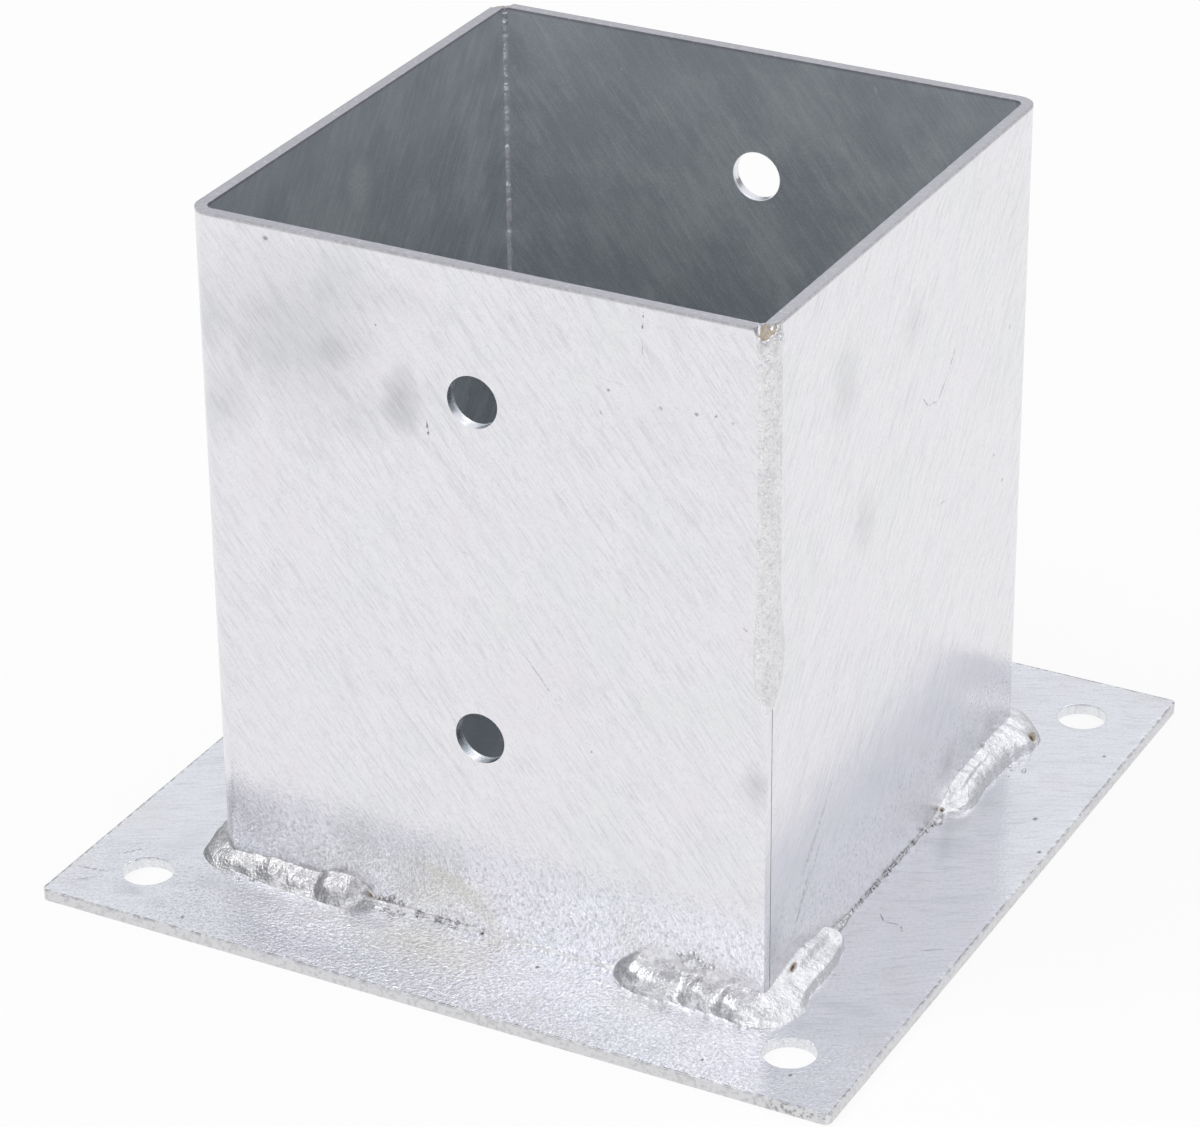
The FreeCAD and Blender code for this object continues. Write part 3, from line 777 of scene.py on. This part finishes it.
# distances run along the walls anticlockwise, 0 at the corner, with reach, rise and fullness;
# lumps are distance, height up the face from 0 to 1, length, width and how far they stand out
weldBeads = {
    "corner_weld_front_left": {
        "turn": -90, "radius": 4.5, "step": 0.26, "ring": 64, "nose": 1.6,
        "stations": [
            (-33.5, 3.0, 2.4, 0.6), (-29, 5.4, 4.2, 0.64), (-22, 6.0, 4.6, 0.64), (-14, 5.6, 4.3, 0.64),
            (-7, 6.2, 4.4, 0.64), (-2, 5.6, 3.6, 0.6), (1.5, 4.2, 3.2, 0.58), (5, 3.0, 3.4, 0.6),
            (8, 3.4, 3.6, 0.54), (12, 4.2, 4.0, 0.55), (16, 4.5, 3.8, 0.55), (20, 4.8, 3.5, 0.56),
            (22.5, 4.7, 3.6, 0.56), (26, 5.2, 4.6, 0.62), (29, 5.3, 5.0, 0.64), (32, 4.9, 4.8, 0.62),
            (34.5, 3.6, 3.4, 0.62), (36.3, 1.8, 1.5, 0.6), (37.4, 1.0, 0.8, 0.6)],
        "lumps": [
            (5.0, 0.35, 2.0, 0.3, 0.35), (8.6, 0.4, 0.9, 0.3, -0.3), (12.5, 0.5, 2.2, 0.35, 0.35),
            (15.6, 0.5, 0.9, 0.3, -0.3), (19.6, 0.45, 2.4, 0.3, 0.4), (23.4, 0.5, 1.4, 0.35, -0.35),
            (28.6, 0.45, 3.6, 0.35, 0.5), (35.2, 0.75, 0.8, 0.15, -0.9), (33.2, 0.4, 1.0, 0.2, -0.3),
            (-10, 0.5, 4.0, 0.3, 0.4), (-17, 0.5, 1.4, 0.3, -0.4), (-23, 0.5, 4.0, 0.3, 0.4)],
        "pits": [(35.6, 0.8, 0.8, 0.08)],
        "ripple": 0.02, "rippleLength": 1.5, "rough": 0.22, "roughScale": 0.28, "fine": 0.06,
        # this bead's shade value paints it darker, as shade
        "mattFrom": (-4.0, -12.0), "shade": 0.36},
    "corner_weld_front_right": {
        "turn": 0, "radius": 0.0, "step": 0.25, "ring": 68, "nose": 1.4,
        "stations": [
            (-33.4, 1.2, 1.0, 0.6), (-32.2, 2.4, 2.2, 0.64), (-30.5, 4.0, 3.7, 0.7), (-28, 5.4, 4.8, 0.72),
            (-25, 6.2, 5.0, 0.72), (-22, 6.2, 4.7, 0.72), (-18.5, 5.7, 4.0, 0.68), (-16.5, 5.7, 4.1, 0.66),
            (-13, 6.0, 4.4, 0.70), (-9, 5.9, 4.1, 0.68), (-6, 6.3, 4.4, 0.70), (-3, 6.8, 4.2, 0.66),
            (0, 6.8, 4.0, 0.62), (2.5, 7.4, 3.8, 0.58), (5, 7.2, 4.0, 0.58), (9, 6.0, 4.4, 0.6),
            (13, 6.1, 5.0, 0.62), (17, 6.2, 5.0, 0.62), (21, 6.0, 4.6, 0.62), (25, 5.2, 3.9, 0.62),
            (28.4, 4.4, 3.7, 0.64), (30.0, 3.0, 2.6, 0.6), (31.5, 1.4, 1.4, 0.6), (33.5, 0.8, 0.7, 0.6)],
        "lumps": [
            (-23.5, 0.5, 4.4, 0.4, 0.9), (-17.2, 0.5, 1.6, 0.4, -0.55), (-12.0, 0.5, 3.0, 0.35, 0.8),
            (-8.6, 0.5, 1.3, 0.35, -0.4), (-5.0, 0.45, 2.6, 0.35, 0.7),
            (1.0, 0.35, 2.4, 0.25, -0.3), (18.0, 0.62, 8.0, 0.16, -0.9), (16.0, 0.22, 11.0, 0.12, 0.5),
            (28.9, 0.5, 0.8, 0.5, 0.8), (26.2, 0.55, 1.4, 0.25, -0.45), (11.3, 0.84, 1.5, 0.07, -1.2),
            (8.0, 0.5, 1.2, 0.3, -0.3)],
        "pits": [(11.3, 0.84, 1.3, 0.05)],
        "ripple": 0.012, "rippleLength": 1.3, "rough": 0.14, "roughScale": 0.24, "fine": 0.04,
        "mattFrom": (-2.0, 4.0)},
    "corner_weld_back_right": {
        "turn": 90, "radius": 4.5, "step": 0.27, "ring": 64, "nose": 1.4,
        "stations": [
            (-41.4, 1.2, 1.0, 0.6), (-40, 2.0, 1.6, 0.62), (-38, 3.8, 2.6, 0.62), (-36, 5.0, 3.6, 0.62),
            (-34, 5.6, 4.4, 0.62), (-31, 5.2, 4.9, 0.64), (-27, 4.8, 5.0, 0.64), (-23, 4.8, 4.9, 0.64),
            (-19, 5.0, 5.1, 0.64), (-15, 5.2, 5.2, 0.64), (-12, 5.7, 5.2, 0.64), (-9, 6.7, 5.1, 0.64),
            (-6, 7.5, 5.0, 0.64), (-3.5, 7.2, 4.8, 0.62), (0, 5.8, 4.6, 0.62), (4, 5.2, 4.4, 0.62),
            (10, 5.6, 4.6, 0.62), (18, 5.2, 4.3, 0.62), (26, 5.6, 4.5, 0.62), (30.5, 4.6, 3.6, 0.62),
            (33.0, 2.4, 2.0, 0.62)],
        "lumps": [
            (-31.0, 0.74, 7.0, 0.10, 0.3), (-26.0, 0.64, 9.0, 0.06, -0.22), (-20.0, 0.3, 12.0, 0.2, 0.2),
            (-35.0, 0.3, 1.6, 0.25, 0.3), (-13.5, 0.3, 1.0, 0.3, -0.35), (-7.0, 0.25, 2.2, 0.2, 0.6),
            (-4.2, 0.3, 1.1, 0.14, -1.0), (-38.5, 0.6, 0.7, 0.25, -0.7), (9, 0.5, 3.0, 0.3, 0.4),
            (15, 0.5, 1.4, 0.3, -0.4), (22, 0.5, 4.0, 0.3, 0.4)],
        "pits": [(-4.2, 0.28, 1.3, 0.12), (-40.6, 0.7, 0.8, 0.2)],
        "ripple": 0.022, "rippleLength": 1.35, "rough": 0.14, "roughScale": 0.3, "fine": 0.05,
        "mattFrom": (-44.0, -39.0)},
    "corner_weld_back_left": {
        "turn": 180, "radius": 0.0, "step": 0.28, "ring": 60, "nose": 1.6,
        "stations": [
            (-33.5, 2.4, 2.0, 0.62), (-30, 4.8, 4.0, 0.64), (-24, 6.0, 4.7, 0.68), (-18, 5.4, 4.0, 0.64),
            (-11, 6.1, 4.6, 0.68), (-4, 6.6, 4.3, 0.66), (0, 6.8, 4.2, 0.62), (4, 6.8, 4.2, 0.6),
            (10, 5.8, 4.5, 0.62), (16, 6.2, 4.8, 0.64), (23, 5.6, 4.2, 0.62), (29, 5.0, 3.8, 0.62),
            (32.5, 2.4, 2.0, 0.62)],
        "lumps": [
            (-23, 0.5, 4.0, 0.3, 0.5), (-17, 0.5, 1.4, 0.3, -0.5), (-10, 0.5, 4.0, 0.3, 0.5),
            (8, 0.5, 3.0, 0.3, 0.4), (13, 0.5, 1.4, 0.3, -0.4), (20, 0.5, 5.0, 0.3, 0.4)],
        "pits": [],
        "ripple": 0.04, "rippleLength": 1.4, "rough": 0.26, "roughScale": 0.32, "fine": 0.05,
        "mattFrom": (-2.0, 6.0)},
}


def makeCornerWeld(name, material, seed):
    bead = weldBeads[name]
    bm = newBeadMesh()
    weldBead(bm, lambda distance: footPath(distance, bead["radius"]), bead, seed)
    turnAbout(bm, bead["turn"])
    bmesh.ops.recalc_face_normals(bm, faces=bm.faces[:])
    return finishPiece(bm, name + "_bead", material, 80, (name,))


# weld down a corner: a thin rounded skin outside, a root line inside, a burnt crater at the rim
seamBead = {
    "rounding": (2.0, 5.0),         # how far the corner is rounded, along the two walls
    "fullFrom": 77.0, "sharpBelow": 71.0,
    "legs": [                       # height, and how far the weld's edges lie from the corner
        (69.6, 0.3, 2.8), (70.6, 0.9, 4.2), (72.5, 1.8, 5.8), (75.5, 2.6, 7.2), (80.0, 2.9, 7.8),
        (85.0, 2.7, 7.3), (92.0, 2.3, 6.0), (110.0, 2.3, 5.7), (130.0, 2.2, 5.5), (145.0, 2.4, 5.4),
        (150.0, 2.7, 5.2)],
    "proud": 0.17, "root": 0.75,
    "step": 0.35, "ring": 96, "rings": 14,      # rings that close the top
    "crater": {"out": 63.5, "height": 150.9, "radius": 4.1},    # a ball's worth melted away at the rim
    "lobes": [                      # height, place round the face, length, width, how far they stand out
        (148.3, 0.14, 1.3, 0.08, 1.0), (147.0, 0.24, 0.9, 0.05, 0.6), (147.8, 0.68, 1.5, 0.08, 1.0),
        (146.4, 0.55, 0.9, 0.05, 0.6), (146.6, 0.76, 1.1, 0.05, 0.5), (145.4, 0.38, 0.9, 0.06, 0.35),
        (144.6, 0.6, 0.8, 0.05, 0.3), (74.2, 0.9, 0.7, 0.05, -0.25),
        (120.0, 0.1, 1.2, 0.1, -0.25), (84.0, 0.6, 6.0, 0.25, 0.15)],
}


def seamWeldMesh(seed):
    size = seamBead
    outer = post["sleeveHalf"]
    inner = outer - post["sheetThick"]
    top, bottom = post["rimHeight"], size["legs"][0][0]
    bm = newBeadMesh()
    pit, matt = bm.verts.layers.float["pit"], bm.verts.layers.float["matt"]
    steps = int((top - bottom) / size["step"]) + size["rings"]
    seen = 0.62
    for vert, share, around in beadBall(bm, size["ring"], steps):
        row = share * steps
        height = top + (bottom - top) * min(max(row - size["rings"], 0) / (steps - size["rings"] - 3), 1.0)
        lapLeg, buttLeg = along(size["legs"], height)
        wobble = noise.noise(Vector((0.0, seed, height * 0.11))) * 0.25
        wobble += noise.noise(Vector((5.0, seed, height * 0.5))) * 0.1
        lapLeg, buttLeg = lapLeg + wobble * min(lapLeg, 1), buttLeg + wobble * 1.2
        rounded = max((height - size["sharpBelow"]) / (size["fullFrom"] - size["sharpBelow"]), 0.06)
        radiusX = min(size["rounding"][0] * min(rounded, 1), lapLeg - 0.1)
        radiusY = min(size["rounding"][1] * min(rounded, 1), buttLeg - 0.2)
        if around < seen:
            t = around / seen
            if t < 0.2:
                place = Vector((outer - lapLeg + (lapLeg - radiusX) * t / 0.2, -outer))
                way = Vector((0.0, -1.0))
            elif t > 0.8:
                place = Vector((outer, -outer + radiusY + (buttLeg - radiusY) * (t - 0.8) / 0.2))
                way = Vector((1.0, 0.0))
            else:
                turn = (t - 0.2) / 0.6 * math.pi / 2
                place = Vector((outer - radiusX + radiusX * math.sin(turn),
                                -outer + radiusY - radiusY * math.cos(turn)))
                way = Vector((math.sin(turn) * radiusY, -math.cos(turn) * radiusX)).normalized()
            spot = Vector((place.x, place.y, height))
            lift = size["proud"] * min(1.0, 12 * t, 12 * (1 - t))
            lift += 0.05 * noise.fractal(spot * 0.5, 1.0, 2.1, 2) * min(1.0, 5 * t, 5 * (1 - t))
            for lobe in size["lobes"]:
                away = ((height - lobe[0]) / lobe[2]) ** 2 + ((t - lobe[1]) / lobe[3]) ** 2
                lift += lobe[4] * math.exp(-away)
            place += way * lift
        else:
            q = (around - seen) / (1 - seen)
            bulge = size["root"] + 0.3 * noise.noise(Vector((seed, 3.0, height * 0.35)))
            bulge += 0.15 * noise.noise(Vector((seed, 8.0, height * 1.1)))
            turn = softStep(0.25, 0.75, q) * math.pi / 2
            root = Vector((inner - bulge * math.sin(turn), -inner + bulge * math.cos(turn)))
            first, last = Vector((outer, -outer + buttLeg)), Vector((outer - lapLeg, -outer))
            ends = first.lerp(last, softStep(0.4, 0.6, q))
            place = ends.lerp(root, softStep(0.0, 0.25, min(q, 1 - q)))
        if row < size["rings"]:
            place = Vector((outer - 1.5, -outer + 1.9)).lerp(place, row / size["rings"])
        elif row > steps - 3:
            place = Vector((outer - 0.6, -outer + 1.2)).lerp(place, (steps - row) / 3)
        crater = size["crater"]
        corner = (place - Vector((crater["out"], -crater["out"]))).length
        under = crater["radius"] ** 2 - corner ** 2
        lip = top - 0.12
        if under > 0:
            lip = min(lip, crater["height"] - math.sqrt(under) + 0.3)
            lip += 0.5 * noise.fractal(Vector((place.x, place.y, seed)) * 1.1, 1.0, 2.0, 2)
        height = bottom + (height - bottom) * (lip - bottom) / (top - bottom)
        if row <= size["rings"]:
            burnt = softStep(size["rings"] - 1.0, size["rings"] - 4.0, row)
            vert[pit] = 0.42 * softStep(4.8, 4.1, corner) * burnt
        vert.co = (place.x, place.y, height)
        vert[matt] = 0.9 * softStep(149.0, 145.0, height)
    return bm


# thin line of metal in the joint between the corner welds, one along each wall; its shade value darkens it as
# a painted shadow of the gap
jointLines = {
    "front": {"turn": 0, "stations": [
        (-90.0, 0.9, 0.8, 0.6), (-87.5, 1.3, 1.2, 0.6), (-82.5, 1.0, 1.0, 0.6), (-78, 0.5, 0.5, 0.55),
        (-66, 0.55, 0.5, 0.55), (-58, 0.35, 0.35, 0.55), (-42, 0.3, 0.32, 0.55), (-36, 0.45, 0.45, 0.55),
        (-33.5, 1.0, 0.9, 0.55), (-31.0, 1.2, 1.0, 0.55)], "rough": 0.22, "shade": 0.3},
    "right": {"turn": 90, "stations": [
        (-94.5, 1.2, 1.0, 0.6), (-90.0, 1.1, 0.9, 0.6), (-86.0, 0.55, 0.5, 0.6), (-84, 0.28, 0.28, 0.55),
        (-60, 0.28, 0.28, 0.6), (-48, 0.45, 0.4, 0.6), (-44, 1.0, 0.9, 0.6), (-41.0, 1.5, 1.4, 0.6)],
        "rough": 0.35, "shade": 0.35},
    "back": {"turn": 180, "stations": [
        (-93.0, 0.8, 0.7, 0.6), (-60.0, 0.4, 0.4, 0.6), (-32.0, 0.8, 0.7, 0.6)], "rough": 0.3, "shade": 0.3},
    "left": {"turn": -90, "stations": [
        (-94.0, 0.8, 0.7, 0.6), (-60.0, 0.4, 0.4, 0.6), (-32.0, 0.8, 0.7, 0.6)], "rough": 0.3, "shade": 0.3},
}


def makeJointLines(material):
    bm = newBeadMesh()
    for seed, line in enumerate(jointLines.values()):
        older = set(bm.verts)
        bead = dict(line, step=0.3, ring=20, nose=0.8, lumps=[], pits=[], ripple=0.0, rippleLength=1.0,
                    roughScale=0.9, fine=0.08, mattFrom=(-200, -190))
        weldBead(bm, lambda distance: footPath(distance, 0.0), bead, seed + 11)
        turnAbout(bm, line["turn"], [vert for vert in bm.verts if vert not in older])
    bmesh.ops.recalc_face_normals(bm, faces=bm.faces[:])
    return finishPiece(bm, "joint_lines", material, 80)


# droplets thrown from the welds: centre, spread, way out of the surface, how many, radii, how dark
spatter = {
    "seed": 41,
    "groups": [
        ((47.5, -63.0, 9.8), (5.0, 0, 1.3), (0, -1, 0), 30, (0.18, 0.5), 0.0),
        ((-22.0, -63.0, 3.6), (2.6, 0, 0.9), (0, -1, 0), 24, (0.2, 0.5), 0.9),
        ((-20.0, -64.5, 2.5), (3.0, 1.0, 0), (0, 0, 1), 16, (0.15, 0.4), 0.8),
        ((-10.0, -63.2, 2.9), (6.5, 0.3, 0.25), (0, -1, 0), 40, (0.12, 0.3), 0.8),
        ((-9.0, -64.0, 2.5), (7.0, 0.8, 0), (0, 0, 1), 20, (0.1, 0.25), 0.6),
        ((63.2, -5.0, 2.8), (0.2, 19.0, 0.2), (1, 0, 0), 90, (0.1, 0.26), 0.6),
        ((63.6, 19.0, 2.7), (0.7, 3.0, 0.2), (0, 0, 1), 24, (0.15, 0.5), 0.3),
        ((63.0, 44.3, 8.0), (0, 0.2, 0.1), (1, 0, 0), 2, (0.35, 0.6), 0.0),
        ((-57.0, -67.5, 2.5), (3.0, 1.2, 0), (0, 0, 1), 6, (0.2, 0.4), 0.3),
        ((69.5, 45.5, 2.5), (1.6, 3.0, 0), (0, 0, 1), 8, (0.2, 0.45), 0.0),
        ((72.5, 46.5, 2.5), (1.0, 0.5, 0), (0, 0, 1), 2, (0.3, 0.5), 0.0),
    ],
}


def makeSpatter(material):
    draw = random.Random(spatter["seed"])
    bm = newBeadMesh()
    matt, shade = bm.verts.layers.float["matt"], bm.verts.layers.float["shade"]
    for centre, spread, way, count, radii, dark in spatter["groups"]:
        for _ in range(count):
            radius = radii[0] + (radii[1] - radii[0]) * draw.random() ** 2
            place = Vector(centre) + Vector([draw.gauss(0, 0.5) * s for s in spread])
            place += Vector(way) * radius * 0.25
            stretch = Vector([1.0 if w else draw.uniform(0.9, 1.8) for w in way])
            turn = Matrix.Rotation(draw.uniform(0, 3.1), 4, Vector(way))
            drop = bmesh.ops.create_icosphere(
                bm, subdivisions=2, radius=radius,
                matrix=Matrix.Translation(place) @ turn @ Matrix.Diagonal((*stretch, 1)))
            for vert in drop["verts"]:
                vert[matt] = 0.3
                vert[shade] = dark * draw.random()
    return finishPiece(bm, "weld_spatter", material, 80)


sheetMaterial = galvanisedSheet()
plateMaterial = galvanisedPlate()
weldMaterial = weldMetal()
print("materials ready")

half = foldedHalf()
other = half.copy()
turnAbout(other, 180)
for bm, name in ((half, "sleeve_half_front"), (other, "sleeve_half_back")):
    piece = finishPiece(bm, name + "_sheet", sheetMaterial, 40, (name,))
    piece.modifiers.new("flat faces", "WEIGHTED_NORMAL").keep_sharp = True
piece = finishPiece(anchorPlateMesh(), "base_plate_sheet", plateMaterial, 40,
                    ("base_plate",))
for face in piece.data.polygons:
    face.use_smooth = face.area < 1e-4      # square metres: the large faces stay truly flat

for seed, name in enumerate(weldBeads):
    makeCornerWeld(name, weldMaterial, seed + 1)
for seed, (name, degrees) in enumerate((("seam_weld_front", 0), ("seam_weld_back", 180))):
    bm = seamWeldMesh(seed + 3)
    turnAbout(bm, degrees)
    bmesh.ops.recalc_face_normals(bm, faces=bm.faces[:])
    finishPiece(bm, name + "_bead", weldMaterial, 80, (name,))
makeJointLines(weldMaterial)
makeSpatter(weldMaterial)
print("pieces ready")


studio = {
    "floorSize": 6.0,
    "floorColour": (0.9, 0.9, 0.9, 1),
    "floorSeen": 0.87,       # share of the floor that stays white for the camera
    "floorMirrored": 0.93,   # and in reflections
    "skyLevel": 0.55,        # what lights the object from the world
    "dome": [                # what shows in reflections, by how high the ray points
        (0.0, (0.25, 0.26, 0.28, 1)), (0.25, (0.35, 0.36, 0.39, 1)), (0.40, (0.88, 0.89, 0.93, 1)),
        (0.62, (0.92, 0.93, 0.96, 1)), (0.8, (0.62, 0.63, 0.66, 1)), (1.0, (0.60, 0.61, 0.64, 1))],
}


def makeFloor():
    material, paint = newMaterial("studio floor")
    camera = paint.add("ShaderNodeLightPath", output="Is Camera Ray")
    glossy = Wire(paint, camera.socket.node.outputs["Is Glossy Ray"])
    seen = camera * studio["floorSeen"] + glossy * studio["floorMirrored"]
    matt = paint.add("ShaderNodeBsdfDiffuse", inputs={"Color": studio["floorColour"]})
    glow = paint.add("ShaderNodeEmission", inputs={"Color": (1, 1, 1, 1), "Strength": 1.0})
    surface = paint.add("ShaderNodeMixShader", inputs={0: seen, 1: matt, 2: glow})
    paint.add("ShaderNodeOutputMaterial", inputs={"Surface": surface})
    bm = bmesh.new()
    bmesh.ops.create_grid(bm, x_segments=1, y_segments=1, size=studio["floorSize"] / 2)
    mesh = bpy.data.meshes.new("floor")
    bm.to_mesh(mesh)
    bm.free()
    mesh.materials.append(material)
    floor = bpy.data.objects.new("floor", mesh)
    bpy.context.scene.collection.objects.link(floor)
    floor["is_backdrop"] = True


def makeWorld():
    world = bpy.data.worlds.new("studio")
    world.use_nodes = True
    bpy.context.scene.world = world
    paint = Paint(world.node_tree)
    camera = paint.add("ShaderNodeLightPath", output="Is Camera Ray")
    glossy = Wire(paint, camera.socket.node.outputs["Is Glossy Ray"])
    direction = paint.add("ShaderNodeTexCoord", output="Generated")
    x, y, z = [paint.add("ShaderNodeSeparateXYZ", inputs={0: direction}, output=i) for i in range(3)]
    dome = paint.add("ShaderNodeValToRGB", {"stops": studio["dome"]}, {0: z})
    # a darker card to the left of the front, a brighter one to the right of the back
    lean = paint.size(x) / paint.either(paint.size(y), 0.05)
    card = paint.rise(y, 0.1, -0.1) * paint.rise(x, 0.1, -0.1) * paint.rise(lean, 0.47, 0.68) * -0.24
    card = card + paint.rise(y, -0.1, 0.1) * paint.rise(x, -0.1, 0.1) * 0.02
    back = paint.add("ShaderNodeBackground", inputs={"Color": (1, 1, 1, 1), "Strength": studio["skyLevel"]})
    shown = paint.add("ShaderNodeBackground", inputs={"Color": dome, "Strength": 1.03 + card})
    white = paint.add("ShaderNodeBackground", inputs={"Color": (1, 1, 1, 1), "Strength": 1.0})
    surface = paint.add("ShaderNodeMixShader", inputs={0: glossy, 1: back, 2: shown})
    surface = paint.add("ShaderNodeMixShader", inputs={0: camera, 1: surface, 2: white})
    paint.add("ShaderNodeOutputWorld", inputs={"Surface": surface})


# place in metres, what it points at, width and height, and how bright its face is
lamps = {
    "front": ((0.02, -1.3, 0.75), (0.02, 0, 0.75), (1.2, 0.9), 1.2),
    "key": ((-0.95, -0.55, 1.6), (0, 0, 0.06), (1.0, 1.0), 3.0),
    "fill": ((1.45, -0.1, 1.25), (0, 0, 0.06), (0.8, 0.8), 2.2),
    "top": ((0.2, 0.95, 1.6), (0, 0, 0.06), (1.0, 0.8), 2.0),
}


def makeLamp(name, place, aim, size, level):
    light = bpy.data.lights.new(name, "AREA")
    light.shape = "RECTANGLE"
    light.size, light.size_y = size
    light.energy = level * math.pi * size[0] * size[1]
    lamp = bpy.data.objects.new(name, light)
    lamp.location = place
    lamp.rotation_euler = (Vector(aim) - Vector(place)).to_track_quat("-Z", "Y").to_euler()
    bpy.context.scene.collection.objects.link(lamp)


view = {
    "lens": 136.71, "azimuth": 28.072, "elevation": 27.757, "roll": -0.5565,
    "distance": 948.44, "aim": (-5.489, -2.07), "target": (0, 0, 60),   # millimetres
}


def makeCamera():
    azimuth, elevation = math.radians(view["azimuth"]), math.radians(view["elevation"])
    level = math.cos(elevation)
    back = Vector((math.sin(azimuth) * level, -math.cos(azimuth) * level, math.sin(elevation)))
    right = Vector((math.cos(azimuth), math.sin(azimuth), 0))
    upward = back.cross(right)
    c, s = math.cos(math.radians(view["roll"])), math.sin(math.radians(view["roll"]))
    right, upward = right * c + upward * s, upward * c - right * s
    place = Vector(view["target"]) + back * view["distance"]
    place += right * view["aim"][0] + upward * view["aim"][1]
    camera = bpy.data.cameras.new("camera")
    camera.lens = view["lens"]
    camera.sensor_width = 36.0
    camera.clip_end = 20.0
    holder = bpy.data.objects.new("camera", camera)
    pose = Matrix((right, upward, back)).transposed().to_4x4()
    pose.translation = place * mm
    holder.matrix_world = pose
    bpy.context.scene.collection.objects.link(holder)
    bpy.context.scene.camera = holder


makeFloor()
makeWorld()
for name, lamp in lamps.items():
    makeLamp(name, *lamp)
makeCamera()
bpy.context.scene.view_settings.view_transform = "Standard"
print("studio ready")

boxes = {"cad": cadBox, "visual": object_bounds()}
{name: [list(corner) for corner in box] for name, box in boxes.items()}
